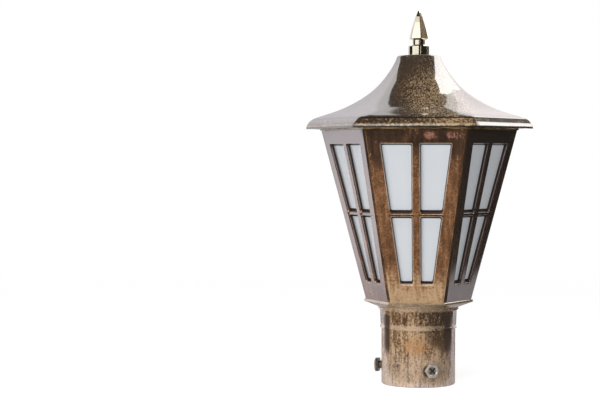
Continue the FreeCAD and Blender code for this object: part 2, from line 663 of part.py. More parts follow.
rib_inner = ring_inner + RIB_SEAT
heel_inner = ring_reach + HEEL_ROOM
rib_end = EAVE_REACH - ROOF_WALL
rib = Part.makeBox(rib_end - rib_inner, RIB, ROOF_HEIGHT, Vector(rib_inner, -RIB / 2, RING_TOP))
heel = Part.makeBox(rib_end - heel_inner, RIB, ROOF_HEIGHT, Vector(heel_inner, -RIB / 2, EAVE + HEEL_ROOM))
rib = rib.fuse(heel).common(roof_solid)
ribs = []
for k in range(6):
    turned_rib = rib.copy()
    turned_rib.rotate(ORIGIN, UP, 60 * k)
    ribs.append(turned_rib)
boss_foot = ROOF_TOP - ROOF_WALL / 2 - BOSS_HEIGHT
boss = rod(BOSS_RADIUS, boss_foot, boss_foot + BOSS_HEIGHT)
roof = roof.fuse(ribs + [boss])
roof = roof.cut(rod(STUD_RADIUS + HOLE_ROOM, RING_TOP, ROOF_TOP + OVER))
save("roof", roof)

# Finial: the brass nut that holds the roof, a ring and a neck below a six-sided spear.
ring_top = ROOF_TOP + RING_HEIGHT
neck_top = ring_top + NECK_HEIGHT
spear_top = neck_top + SPEAR_HEIGHT
finial = turned(
    (0, ROOF_TOP), (RING_RADIUS - RING_CHAMFER, ROOF_TOP), (RING_RADIUS, ROOF_TOP + RING_CHAMFER),
    (RING_RADIUS, ring_top - RING_CHAMFER), (RING_RADIUS - RING_CHAMFER, ring_top),
    (NECK_RADIUS + NECK_FILLET, ring_top), (NECK_RADIUS, ring_top + NECK_FILLET),
    (NECK_RADIUS, neck_top), (0, neck_top),
)
spear_sections = []
for share, spread in SPEAR_CURVE:
    reach = spread * SPEAR_REACH
    spear_sections.append((reach, 0.12 * reach, neck_top + share * SPEAR_HEIGHT, SPEAR_BEARING))
finial = finial.fuse(loft(spear_sections, True))
finial = finial.cut(rod(STUD_RADIUS + RUNNING_FIT, ROOF_TOP - OVER, ROOF_TOP + THREAD_DEPTH))
save("finial", finial)

# Set bolts: hexagon heads with a dished crown and a cross recess, flats at the top and bottom.
bolt_tip = BORE_RADIUS + BOLT_TIP_RECESS
head_foot = TUBE_RADIUS + BOLT_STANDOFF
head_top = head_foot + BOLT_HEAD
bolt = hex_rod(BOLT_FLATS, head_foot, head_top)
crown_reach = BOLT_FLATS / 2 / COS30
bolt = bolt.common(turned((0, head_foot), (crown_reach + OVER, head_foot),
                          (crown_reach + OVER, head_top - BOLT_CROWN), (0.46 * BOLT_FLATS, head_top),
                          (0, head_top)))
dish_foot = head_top - BOLT_DISH
bolt = bolt.cut(turned((0, dish_foot), (0.28 * BOLT_FLATS, dish_foot), (0.36 * BOLT_FLATS, head_top),
                       (0, head_top)))
for turn in (45, 135):
    slot = Part.makeBox(0.62 * BOLT_FLATS, BOLT_SLOT, BOLT_SLOT_DEPTH,
                        Vector(-0.31 * BOLT_FLATS, -BOLT_SLOT / 2, head_top - BOLT_SLOT_DEPTH))
    slot.rotate(ORIGIN, UP, turn)
    bolt = bolt.cut(slot)
shank = turned((0, bolt_tip), (BOLT_RADIUS - BOLT_POINT, bolt_tip), (BOLT_RADIUS, bolt_tip + BOLT_POINT),
               (BOLT_RADIUS, head_foot), (0, head_foot))
bolt = bolt.fuse(shank)
bolt.rotate(ORIGIN, UP, 90)
bolt.rotate(ORIGIN, Vector(0, 1, 0), 90)
bolt.translate(Vector(0, 0, BOLT_HEIGHT))
for k, bearing in enumerate(bolt_bearings):
    placed = bolt.copy()
    placed.rotate(ORIGIN, UP, bearing)
    save("set_bolt_" + str(k + 1), placed)
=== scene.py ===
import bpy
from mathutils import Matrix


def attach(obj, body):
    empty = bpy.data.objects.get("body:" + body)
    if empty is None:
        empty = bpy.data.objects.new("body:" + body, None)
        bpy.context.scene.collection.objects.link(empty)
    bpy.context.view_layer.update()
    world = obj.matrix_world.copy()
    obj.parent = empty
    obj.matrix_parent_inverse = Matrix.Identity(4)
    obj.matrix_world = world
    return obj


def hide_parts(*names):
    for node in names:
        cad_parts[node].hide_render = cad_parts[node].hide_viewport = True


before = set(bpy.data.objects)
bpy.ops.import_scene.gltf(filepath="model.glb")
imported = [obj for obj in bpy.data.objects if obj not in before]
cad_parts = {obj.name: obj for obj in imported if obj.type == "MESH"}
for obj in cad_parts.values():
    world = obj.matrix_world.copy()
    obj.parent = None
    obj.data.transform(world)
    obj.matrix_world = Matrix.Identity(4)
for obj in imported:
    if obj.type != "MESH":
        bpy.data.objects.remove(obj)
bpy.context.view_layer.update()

import math
import bmesh
import bpy
from mathutils import Matrix, Vector

# Collar: a cast aluminium tube that slips over the post, with a bead and a tapered band at its head.
# It is sprayed dark and rubbed back to copper and gold lacquer, brushed up and down, so that the high
# places shine and the hollows stay brown. The bright lines on the bead and the head ring are painted
# highlights, and the dark on its flanks and beside the front bolt is painted shade.


class Wire:
    """One output of a shader node; arithmetic on it adds Math nodes to the same material."""

    def __init__(self, tree, socket=None):
        self.tree = tree
        self.socket = socket

    def add(self, kind, settings, inputs, out=0):
        node = self.tree.nodes.new("ShaderNode" + kind)
        for name, value in settings.items():
            setattr(node, name, value)
        for name, value in inputs.items():
            if isinstance(value, Wire):
                self.tree.links.new(value.socket, node.inputs[name])
            else:
                node.inputs[name].default_value = value
        return Wire(self.tree, node.outputs[out] if node.outputs else None)

    def math(self, operation, first, second=0.0):
        return self.add("Math", {"operation": operation}, {0: first, 1: second})

    def __add__(self, other):
        return self.math("ADD", self, other)

    __radd__ = __add__

    def __sub__(self, other):
        return self.math("SUBTRACT", self, other)

    def __rsub__(self, other):
        return self.math("SUBTRACT", other, self)

    def __mul__(self, other):
        return self.math("MULTIPLY", self, other)

    __rmul__ = __mul__

    def over(self, low, high):
        """0 below low and 1 above high, with a soft step between them."""
        return self.add("MapRange", {"interpolation_type": "SMOOTHSTEP"},
                        {"Value": self, "From Min": low, "From Max": high})

    def band(self, low, high, soft):
        """1 between two values, with soft ends."""
        return self.over(low - soft, low + soft) - self.over(high - soft, high + soft)

    def mix(self, first, second):
        """Colour first where this is 0, second where it is 1."""
        return self.add("Mix", {"data_type": "RGBA"}, {0: self, 6: first, 7: second}, out=2)

    def coordinates(self):
        """Places on the piece, in metres in the lamp's frame."""
        return self.add("TexCoord", {}, {}, out="Object")

    def axis(self, index):
        return self.add("SeparateXYZ", {}, {0: self}, out=index)

    def length(self):
        return self.add("VectorMath", {"operation": "LENGTH"}, {0: self}, out="Value")

    def noise(self, scale, detail=3.0, turn=(0, 0, 0), seed=0.0):
        """Noise on these coordinates, turned and then scaled along each axis."""
        place = self.add("Mapping", {"vector_type": "TEXTURE"},
                         {"Vector": self, "Rotation": turn, "Scale": tuple(1.0 / each for each in scale),
                          "Location": (seed, seed, seed)})
        return place.add("TexNoise", {}, {"Vector": place, "Scale": 1.0, "Detail": detail})

    def blot(self, centre, size, turn=(0, 0, 0)):
        """1 at a centre on these coordinates, fading to 0 at the given sizes."""
        local = self.add("Mapping", {"vector_type": "TEXTURE"},
                         {"Vector": self, "Location": centre, "Rotation": turn, "Scale": size})
        return 1.0 - local.length().over(0.25, 1.0)


def new_finish(name):
    material = bpy.data.materials.new(name)
    material.use_nodes = True
    material.node_tree.nodes.clear()
    return material, Wire(material.node_tree)


def coat_with(start, inputs):
    """Ends a finish in one Principled shader."""
    shader = start.add("BsdfPrincipled", {}, inputs)
    start.add("OutputMaterial", {}, {"Surface": shader})


def dress(material, *nodes):
    for node in nodes:
        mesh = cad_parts[node].data
        mesh.materials.clear()
        mesh.materials.append(material)


def antique(place, tones, texture, lean=0.0, fleck=0.0, cloud=40.0, bare=0.0, dark=0.0, dull=0.0,
            stain=0.0, stain_tone=(0, 0, 0, 1)):
    """Dark lacquer rubbed back to copper and gold, under a hard clear coat that mirrors the room.

    tones: dark lacquer, copper and bare gold; texture: the marks of the rubbing, about 0.5; lean: how far
    the piece is rubbed; fleck: how much gold shows; cloud: how close the patches lie; bare, dark and dull:
    where it is worn to gold or has a painted highlight, where it is left thick with lacquer or has painted
    shade, and where it is never polished or is made matt as painted shade; stain: where it has another
    tone, some of which is painted shade or a painted highlight."""
    lacquer, copper, worn_gold = tones
    patches = place.noise((cloud, cloud, cloud), 5.0, seed=2.0)
    rub = (patches * 0.5 + texture * 0.9 + lean).over(0.35, 1.05)
    flecks = (patches * 0.45 + texture * 1.3 + fleck).over(0.78, 1.43)
    gold = (flecks + (texture + 0.5) * bare).over(0.0, 1.0)
    colour = gold.mix(rub.mix(lacquer, copper), worn_gold)
    colour = ((texture + 0.5) * dark).over(0.0, 1.0).mix(colour, lacquer)
    colour = ((texture + 0.5) * stain).over(0.0, 1.0).mix(colour, stain_tone)
    relief = place.add("Bump", {}, {"Strength": 0.3, "Distance": 0.0003, "Height": texture})
    coat_with(place, {"Base Color": colour, "Metallic": 0.15, "Normal": relief,
                      "Roughness": 0.5 - gold * 0.15 + 0.4 * dull,
                      "Coat Weight": 1.0 - 0.95 * dull, "Coat Roughness": 0.08, "Coat IOR": 3.8})


COLLAR_LACQUER = (0.080, 0.048, 0.031, 1)
COLLAR_FOOT_COPPER = (0.56, 0.40, 0.29, 1)
COLLAR_HEAD_COPPER = (0.50, 0.28, 0.125, 1)
COLLAR_GOLD = (0.84, 0.61, 0.41, 1)
COLLAR_AMBER = (0.72, 0.30, 0.08, 1)
BEAD = (0.0562, 0.0612)
HEAD_RING = (0.0745, 0.0790)
RIM_BLUR = 0.0008
FLANK = (0.0272, 0.0333)
FLANK_BLUR = 0.0022
collar_finish, start = new_finish("rubbed copper collar")
place = start.coordinates()
across = place.axis(0)
height = place.axis(2)
# painted highlights: bright gold lines on the bead and on the head ring
rim_highlights = height.band(*BEAD, RIM_BLUR) * 0.75 + height.band(*HEAD_RING, RIM_BLUR) * 0.5
amber = place.blot((-0.002, -0.037, 0.041), (0.020, 0.02, 0.016))
# painted shadow of the front bolt on the collar, at its lower left, dark and matt
painted_bolt_shadow = place.blot((0.0098, -0.0357, 0.0162), (0.0066, 0.012, 0.0088))
# painted shade on the collar's flanks beside its outline, dark and without the clear coat
upright = height.over(0.024, 0.042) - height.over(0.069, 0.073)
painted_flank_shade = place.math("ABSOLUTE", across).band(*FLANK, FLANK_BLUR) * upright
sand = place.noise((600, 600, 480), 4.0, seed=7.0)
brush = place.noise((520, 520, 70), 4.0)
streak = place.noise((120, 120, 20), 3.0, seed=3.0)
# a dark tarnish blot, with the painted flank shade added to it
tarnish = place.blot((0.024, -0.030, 0.051), (0.026, 0.02, 0.021)) * (sand * 2.4 - 0.55) + painted_flank_shade * 1.1
upper = height.over(0.015, 0.050) * 0.4 + height.over(0.0585, 0.0605) * 0.6
shaded = across.over(0.0, 0.02) * upper
copper = height.over(0.016, 0.042).mix(COLLAR_FOOT_COPPER, COLLAR_HEAD_COPPER)
antique(place, (COLLAR_LACQUER, copper, COLLAR_GOLD), (sand * 0.55 + brush * 0.45) * 2.4 - 0.7,
        lean=streak * 0.9 - 0.18 - 0.24 * upper - 0.2 * shaded,
        fleck=streak * 0.6 - 0.08 - 0.24 * upper - 0.1 * shaded, cloud=75.0, bare=rim_highlights + amber * 0.25,
        dark=tarnish + painted_bolt_shadow * 1.2, dull=painted_flank_shade * 0.95 + painted_bolt_shadow * 0.6, stain=amber * (sand * 2.2 - 0.65),
        stain_tone=COLLAR_AMBER)
dress(collar_finish, "collar")

# Set bolts: three plated steel bolts that pinch the post, with hexagon heads, a dished crown and a cross
# recess. The faces are polished by the tool; the recess, the back of the flanks and the shanks are painted
# dark, as painted shade.
# from the lamp's axis to a head's crown, and how far behind the crown the painted shade is full and where it
# ends
BOLT_CROWN = 0.0448
SHADE_DEPTH = 0.0024
SHADE_EDGE = 0.0002
BOLT_PAINTED_SHADE = (0.11, 0.088, 0.070, 1)
BOLT_PLATE = (0.82, 0.75, 0.66, 1)
bolt_finish, start = new_finish("plated bolt steel")
place = start.coordinates()
smear = place.noise((160, 160, 160), 3.0)
east = place.axis(0)
north = place.axis(1)
from_axis = start.math("SQRT", east * east + north * north)
out_of_shade = from_axis.over(BOLT_CROWN - SHADE_DEPTH, BOLT_CROWN - SHADE_EDGE)
# painted shade: the plate darkens into the recess and towards the collar
coat_with(start, {"Base Color": (out_of_shade * 0.7 + smear * 0.4).over(0.1, 0.95).mix(BOLT_PAINTED_SHADE, BOLT_PLATE),
                  "Metallic": 0.6, "Roughness": smear * 0.2 + 0.12})
dress(bolt_finish, "set_bolt_1", "set_bolt_2", "set_bolt_3")

# Base tray: a casting that turns the collar's round top into the hexagon that the panels stand on, screwed
# to the collar's floor. It has the same rubbed finish, worn pale on its edge and its lower lip.
TRAY_LACQUER = (0.070, 0.043, 0.026, 1)
TRAY_COPPER = (0.37, 0.25, 0.14, 1)
TRAY_GOLD = (0.64, 0.48, 0.30, 1)
TRAY_EDGE = (0.0835, 0.0860)
TRAY_LIP = (0.0770, 0.0806)
TRAY_BLUR = 0.0005
tray_finish, start = new_finish("rubbed copper tray")
place = start.coordinates()
height = place.axis(2)
edge = height.band(*TRAY_EDGE, TRAY_BLUR) * 0.3 + height.band(*TRAY_LIP, TRAY_BLUR) * 0.5
sand = place.noise((420, 420, 420), 5.0, seed=7.0)
antique(place, (TRAY_LACQUER, TRAY_COPPER, TRAY_GOLD), sand * 0.6 + place.noise((90, 90, 500), 5.0) * 0.4,
        lean=0.1, fleck=0.1, bare=edge)
dress(tray_finish, "base_tray")

# Cable grommet: a moulded black rubber bush that lines the cable hole through the collar's floor and the
# tray, pressed in from above until its flange rests on the tray. The rubber has a faint grey bloom.
RUBBER_BLACK = (0.012, 0.012, 0.013, 1)
RUBBER_BLOOM = (0.045, 0.044, 0.042, 1)
rubber, start = new_finish("grommet rubber")
bloom = start.coordinates().noise((260, 260, 260), 4.0)
coat_with(start, {"Base Color": bloom.mix(RUBBER_BLACK, RUBBER_BLOOM), "Roughness": bloom * 0.3 + 0.5})
dress(rubber, "cable_grommet")

# Screws, lampholder strap, bridge bar, roof stud and nuts: bought or bent steel parts, all zinc-plated.
# The plating is slightly clouded and dull.
ZINC_GREY = (0.42, 0.43, 0.44, 1)
ZINC_PALE = (0.66, 0.66, 0.63, 1)
zinc, start = new_finish("zinc plate")
cloud = start.coordinates().noise((180, 180, 180), 5.0)
coat_with(start, {"Base Color": cloud.mix(ZINC_GREY, ZINC_PALE), "Metallic": 1.0,
                  "Roughness": cloud * 0.3 + 0.25})
dress(zinc, "collar_screws", "holder_bracket", "bracket_screws", "tray_screws", "ring_screws", "bridge_bar",
      "bridge_screws", "roof_stud", "stud_nuts")

# Lampholder: a glazed porcelain body that stands on the strap, held by a hollow brass nipple and a nut.
# The threaded shell and the contact are pressed from brass sheet, a little tarnished.
GLAZE_CREAM = (0.74, 0.72, 0.66, 1)
GLAZE_WHITE = (0.84, 0.83, 0.79, 1)
BRASS_BROWN = (0.42, 0.27, 0.09, 1)
BRASS_YELLOW = (0.72, 0.52, 0.22, 1)
porcelain, start = new_finish("glazed porcelain")
glaze = start.coordinates().noise((120, 120, 120), 3.0)
coat_with(start, {"Base Color": glaze.mix(GLAZE_CREAM, GLAZE_WHITE), "Roughness": glaze * 0.15 + 0.1})
dress(porcelain, "holder_body")
brass, start = new_finish("plain brass")
tarnish = start.coordinates().noise((220, 220, 220), 5.0)
coat_with(start, {"Base Color": tarnish.mix(BRASS_BROWN, BRASS_YELLOW), "Metallic": 1.0,
                  "Roughness": tarnish * 0.3 + 0.2})
dress(brass, "holder_shell", "holder_contact", "holder_nipple", "nipple_nut")

# Bulb: a clouded glass globe on a screw cap, screwed into the lampholder.
# The glass is milky all through, so nothing shows inside it.
OPAL_GREY = (0.80, 0.80, 0.78, 1)
OPAL_WHITE = (0.88, 0.88, 0.86, 1)
opal, start = new_finish("opal bulb glass")
milk = start.coordinates().noise((60, 60, 60), 3.0)
coat_with(start, {"Base Color": milk.mix(OPAL_GREY, OPAL_WHITE), "Roughness": milk * 0.1 + 0.2})
dress(opal, "bulb")

# Terminal block: a pale plastic moulding that stands on the tray, with one tower for each wire.
# The plastic is satin and slightly uneven in colour.
NYLON_DARK = (0.62, 0.60, 0.54, 1)
NYLON_PALE = (0.72, 0.71, 0.66, 1)
moulded, start = new_finish("terminal plastic")
haze = start.coordinates().noise((150, 150, 150), 3.0)
coat_with(start, {"Base Color": haze.mix(NYLON_DARK, NYLON_PALE), "Roughness": haze * 0.2 + 0.35})
dress(moulded, "terminal_block")

# Side panels: six castings with two rows of windows, thinner round the windows, mitred together at strips
# that blunt the corners, with a groove beside each strip and sills that shed water. Screws from inside hold
# them to the tray and the ring. The copper is brushed lengthwise and rubbed to gold on its edges.
BODY_FOOT = 0.085
BODY_HEAD = 0.254
FOOT_REACH = 0.054
HEAD_REACH = 0.099
FOOT_APOTHEM = FOOT_REACH * math.cos(math.radians(30))
HEAD_APOTHEM = HEAD_REACH * math.cos(math.radians(30))
TILT = math.atan2(HEAD_APOTHEM - FOOT_APOTHEM, BODY_HEAD - BODY_FOOT)
SPREAD = math.tan(math.radians(30))
PANEL_DEPTH = 0.006
WINDOW_DEPTH = 0.0036
SEAM = 0.0004
STRIP = 0.0040
STRIP_INSET = STRIP / 2 / math.cos(math.radians(30))
STRIP_FALL = STRIP / 2 * math.sin(math.radians(30))
GROOVE = 0.0014
GROOVE_DEPTH = 0.0009
STILE = 0.0132
CENTRE_BAR = 0.0068
SIDE_BEVEL = 0.0012
SILL_BEVEL = 0.0036
HEAD_BEVEL = 0.0024
WINDOW_ROUND = 0.0012
EDGE_ROUND = 0.00035
EDGE_ANGLE = math.radians(25)
# how far the cross bar lies behind the face, and the length at its ends in which it sinks
SETBACK = 0.0010
BLEND = 0.0026
# heights of the foot, the sills and heads of both rows, and the head, and how far each shifts at the glass
ROWS = (BODY_FOOT, 0.102, 0.1699, 0.1719, 0.2404, BODY_HEAD)
ROW_BEVELS = (0.0, SILL_BEVEL, -HEAD_BEVEL, SILL_BEVEL, -HEAD_BEVEL, 0.0)
# columns of the grid: 0 and 13 at the mitres, 0 to 1 and 12 to 13 the strips, 1 to 2 and 11 to 12 the
# grooves, 3 to 6 and 7 to 10 the windows; rows: 1 to 2 the lower windows, 3 to 4 the upper ones
SPANS_ACROSS = 13
SPANS_UP = 5
WINDOW_COLUMNS = ({3, 4}, {4, 5}, {5, 6}, {7, 8}, {8, 9}, {9, 10})
# wear and shade: 1 is rubbed to gold, -1 is thick with lacquer; the cross bars' value is painted shade
EDGE_WEAR = 1.0
STRIP_WEAR = 0.15
BAR_SHADE = -0.7
GROOVE_WEAR = -1.0


def flat_width(y, depth):
    """Half the panel's width at a distance up its slope."""
    return (FOOT_APOTHEM + y * math.sin(TILT) - depth * math.cos(TILT)) * SPREAD


def columns(y, depth):
    """Places across the panel, from the left mitre to the right one."""
    share = min(depth / WINDOW_DEPTH, 1.0)
    edge = flat_width(y, depth) - SEAM / 2
    window = flat_width(y, 0) - STILE - share * SIDE_BEVEL
    bar = CENTRE_BAR / 2 + share * SIDE_BEVEL
    right = [bar, bar + BLEND, window - BLEND, window, edge - STRIP_INSET - GROOVE, edge - STRIP_INSET, edge]
    return [-x for x in right[::-1]] + right


def up_slope(level, depth):
    """Distance up the panel's slope to a row, where the windows narrow towards the glass."""
    level_shift = depth * math.tan(TILT) if level in (0, SPANS_UP) else 0.0
    bevel = ROW_BEVELS[level] * min(depth / WINDOW_DEPTH, 1.0)
    return (ROWS[level] - BODY_FOOT) / math.cos(TILT) - level_shift + bevel


def columns_of(face):
    return {vert[column] for vert in face.verts}


def rows_of(face):
    return {vert[row] for vert in face.verts}


panel = bmesh.new()
column = panel.verts.layers.int.new("column")
row = panel.verts.layers.int.new("row")
lay = panel.verts.layers.float_vector.new("lay")
wear_and_shade = panel.faces.layers.float.new("wear_and_shade")
bmesh.ops.create_grid(panel, x_segments=SPANS_ACROSS, y_segments=SPANS_UP, size=0.5)
for vert in panel.verts:
    vert[column] = round((vert.co.x + 0.5) * SPANS_ACROSS)
    vert[row] = round((vert.co.y + 0.5) * SPANS_UP)
    depth = STRIP_FALL if vert[column] in (0, SPANS_ACROSS) else 0.0
    y = up_slope(vert[row], depth)
    on_bar = vert[column] in (4, 5, 8, 9) and vert[row] in (2, 3)
    vert.co = (columns(y, depth)[vert[column]], y, -SETBACK if on_bar else -depth)
openings = [face for face in panel.faces
            if rows_of(face) in ({1, 2}, {3, 4}) and columns_of(face) in WINDOW_COLUMNS]
bmesh.ops.delete(panel, geom=openings, context="FACES")
front = panel.faces[:]
for face in front:
    on_bar = rows_of(face) == {2, 3} and columns_of(face) in WINDOW_COLUMNS
    on_strip = columns_of(face) in ({0, 1}, {12, 13})
    face[wear_and_shade] = BAR_SHADE if on_bar else STRIP_WEAR if on_strip else 0.0
grooves = [face for face in front if columns_of(face) in ({1, 2}, {11, 12})]
behind = bmesh.ops.extrude_face_region(panel, geom=front, use_keep_orig=True)["geom"]
for vert in (item for item in behind if isinstance(item, bmesh.types.BMVert)):
    by_window = vert[column] in range(3, 11) and vert[row] in range(1, 5)
    depth = WINDOW_DEPTH if by_window else PANEL_DEPTH
    y = up_slope(vert[row], depth)
    vert.co = (columns(y, depth)[vert[column]], y, -depth)
bmesh.ops.recalc_face_normals(panel, faces=panel.faces)
sunk = bmesh.ops.extrude_face_region(panel, geom=grooves)["geom"]
bmesh.ops.translate(panel, vec=(0, 0, -GROOVE_DEPTH),
                    verts=[item for item in sunk if isinstance(item, bmesh.types.BMVert)])
for face in panel.faces:
    by_groove = columns_of(face) <= {1, 2} or columns_of(face) <= {11, 12}
    if by_groove and -GROOVE_DEPTH * 1.1 < face.calc_center_median().z < -GROOVE_DEPTH / 10:
        face[wear_and_shade] = GROOVE_WEAR
corners = [edge for edge in panel.edges
           if {edge.verts[0][column], edge.verts[1][column]} in ({3}, {6}, {7}, {10})
           and edge.verts[0][row] == edge.verts[1][row] and edge.verts[0][row] in (1, 2, 3, 4)
           and abs(edge.verts[0].co.z - edge.verts[1].co.z) > WINDOW_DEPTH / 2]
bmesh.ops.bevel(panel, geom=corners, offset=WINDOW_ROUND, offset_type="OFFSET", affect="EDGES", segments=3,
                profile=0.5, material=-1, clamp_overlap=True)
bmesh.ops.recalc_face_normals(panel, faces=panel.faces)
sharp = [edge for edge in panel.edges
         if len(edge.link_faces) == 2 and edge.is_convex and edge.calc_face_angle() > EDGE_ANGLE
         and min(vert.co.z for vert in edge.verts) > -WINDOW_DEPTH / 2]
rounded = bmesh.ops.bevel(panel, geom=sharp, offset=EDGE_ROUND, offset_type="OFFSET", affect="EDGES",
                          segments=2, profile=0.5, material=-1, clamp_overlap=True)
for face in rounded["faces"]:
    face[wear_and_shade] = EDGE_WEAR if face.normal.y < 0.3 else 0.0
bmesh.ops.remove_doubles(panel, verts=panel.verts, dist=1e-6)
bmesh.ops.recalc_face_normals(panel, faces=panel.faces)

# each panel has its own stretch of the pattern, so that no two are alike
PANEL_STEP = 0.4
PANEL_LACQUER = (0.042, 0.019, 0.012, 1)
PANEL_COPPER = (0.42, 0.180, 0.070, 1)
PANEL_GOLD = (0.86, 0.58, 0.33, 1)
PANEL_PINK_HIGHLIGHT = (0.62, 0.28, 0.19, 1)
panel_finish, start = new_finish("rubbed copper panel")
place = start.add("Attribute", {"attribute_name": "lay"}, {}, out="Vector")
worn_and_shaded = start.add("Attribute", {"attribute_name": "wear_and_shade"}, {}, out="Fac")
along = place.axis(0)
climb = place.axis(1)
# painted shade: the window reveals darken and lose their coat towards the glass, and the cross bars are
# painted dark; the grooves are thick with lacquer
painted_reveal_shade = 1.0 - place.axis(2).over(-0.0020, -0.0009)
lacquer_and_painted_shade = painted_reveal_shade + (0.0 - worn_and_shaded).over(0.0, 1.0)
scuff = place.blot((5 * PANEL_STEP - 0.0125, 0.1685, 0.0), (0.0035, 0.0014, 0.01), turn=(0.0, 0.0, 0.5))
# painted shade: the right panel, and the left one a little, are darker and less worn to gold than the rest
right_side = along.band(0.5 * PANEL_STEP, 1.5 * PANEL_STEP, PANEL_STEP / 8)
left_side = along.over(4.5 * PANEL_STEP, 4.75 * PANEL_STEP)
painted_side_shade = right_side + 0.6 * left_side
# the foot of each panel is rubbed to gold, and on the front panel more gold is added as a painted highlight
not_front = along.over(0.5 * PANEL_STEP, 0.75 * PANEL_STEP)
foot_wear_and_sheen = (1.0 - climb.over(0.0, 0.05)) * (1.0 - 0.7 * not_front)
upper = climb.over(0.12, 0.165)
sand = place.noise((420, 420, 420), 5.0, seed=7.0)
brush = place.noise((300, 45, 300), 5.0)
texture = (sand * 0.5 + brush * 0.5) * 1.1 - 0.05
# painted highlights: two pink patches on the front panel's top rail
left_pink_highlight = place.blot((0.0135, 0.1672, 0.0), (0.010, 0.006, 0.01))
right_pink_highlight = place.blot((0.036, 0.1675, 0.0), (0.011, 0.006, 0.01))
antique(place, (PANEL_LACQUER, PANEL_COPPER, PANEL_GOLD), texture,
        lean=0.08 + foot_wear_and_sheen * 0.2 - upper * 0.30 - painted_side_shade * 0.36,
        fleck=foot_wear_and_sheen * 0.34 - upper * 0.08 - painted_side_shade * 0.22 - 0.02, cloud=60.0,
        bare=worn_and_shaded.over(0.0, 1.0) * (0.5 - 0.4 * painted_side_shade), dark=lacquer_and_painted_shade + scuff, dull=painted_reveal_shade,
        stain=(left_pink_highlight + right_pink_highlight) * (texture * 3.0 - 1.0), stain_tone=PANEL_PINK_HIGHLIGHT)
foot = Matrix.Translation((0, -FOOT_APOTHEM, BODY_FOOT)) @ Matrix.Rotation(math.pi / 2 + TILT, 4, "X")
for k in range(6):
    for vert in panel.verts:
        vert[lay] = vert.co + Vector((PANEL_STEP * k, 0, 0))
    casting_mesh = bpy.data.meshes.new("panel_casting_%d" % (k + 1))
    panel.to_mesh(casting_mesh)
    casting_mesh.transform(Matrix.Rotation(math.radians(60 * k), 4, "Z") @ foot)
    casting_mesh.shade_smooth()
    casting_mesh.materials.append(panel_finish)
    casting = bpy.data.objects.new("panel_casting_%d" % (k + 1), casting_mesh)
    bpy.context.collection.objects.link(casting)
    even = casting.modifiers.new("even shading", "WEIGHTED_NORMAL")
    even.weight = 80
    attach(casting, "lantern")
    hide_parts("side_panel_%d" % (k + 1))
panel.free()

# Panes: one sheet of frosted white glass behind each panel. It stands on the tray's wall, and lips on the
# tray and the top ring keep it from falling in. The frost is a fine even etch, and the glass has a faint
# painted glow, which stands in for the light that passes through the lamp.
PANE_GREY = (0.39, 0.41, 0.43, 1)
PANE_WHITE = (0.45, 0.465, 0.485, 1)
PANE_PAINTED_GLOW = (0.80, 0.83, 0.86, 1)
frosted, start = new_finish("frosted glass")
place = start.coordinates()
etch = place.noise((1500, 1500, 1500), 2.0)
drift = place.noise((14, 14, 14), 2.0)
relief = start.add("Bump", {}, {"Strength": 0.15, "Distance": 0.0001, "Height": etch})
coat_with(start, {"Base Color": drift.mix(PANE_GREY, PANE_WHITE), "Roughness": etch * 0.1 + 0.3,
                  "Normal": relief, "Emission Color": PANE_PAINTED_GLOW, "Emission Strength": 0.29})
dress(frosted, *["glass_pane_%d" % k for k in range(1, 7)])

# Top ring: the casting that ties the panels' heads together and carries the roof.
# Only its thin edge shows under the eave, rubbed nearly to gold.
RING_LACQUER = (0.070, 0.040, 0.022, 1)
RING_COPPER = (0.26, 0.14, 0.06, 1)
RING_GOLD = (0.52, 0.36, 0.17, 1)
ring_finish, start = new_finish("rubbed copper ring")
place = start.coordinates()
antique(place, (RING_LACQUER, RING_COPPER, RING_GOLD), place.noise((90, 90, 500), 5.0), lean=0.15, fleck=0.2)
dress(ring_finish, "top_ring")

# Roof: a trumpet-shaped casting, round at the top and hexagonal at its eave, which ends in a fascia that
# swells out to a lip. It was scratched criss-cross when it was rubbed back, most on the front right, and
# the front of the lip is worn dull. On the front right the gold is partly painted light from that side;
# the gold band along the lip is a painted highlight, and the dark lines above the fascia and under the
# lip are painted shade.
ROOF_LACQUER = (0.042, 0.026, 0.016, 1)
ROOF_COPPER = (0.14, 0.088, 0.050, 1)
ROOF_GOLD = (0.52, 0.36, 0.20, 1)
ROOF_PAINTED_SHADE = (0.010, 0.007, 0.005, 1)
HATCH = (1500, 360, 330)
HATCH_TURN = 0.6
FASCIA_CREASE = (0.2640, 0.2652)
FASCIA_MATT = (0.2606, 0.2650)
LIP_HIGHLIGHT = (0.2573, 0.2588)
LIP_DULL = (0.2558, 0.2600)
FASCIA_BLUR = 0.0004
roof_finish, start = new_finish("rubbed copper roof")
place = start.coordinates()
across = place.axis(0)
height = place.axis(2)
front = place.blot((0.012, -0.075, 0.296), (0.080, 0.11, 0.10))
# the front right is rubbed and scratched most, and its extra gold is partly painted light from the right
rubbing_and_painted_light = place.blot((0.024, -0.065, 0.288), (0.050, 0.09, 0.065))
hatch = place.noise(HATCH, 2.0, turn=(0.0, HATCH_TURN, 0.0))
hatch = hatch + place.noise(HATCH, 2.0, turn=(0.0, -HATCH_TURN, 0.0), seed=5.0)
sand = place.noise((420, 420, 420), 4.0, seed=7.0)
fascia = 1.0 - height.over(0.2648, 0.2656)
# painted shade: dark lines in the crease above the fascia's roll and under its lip
painted_crease_shade = height.band(*FASCIA_CREASE, FASCIA_BLUR) + (1.0 - height.over(0.2561, 0.2568))
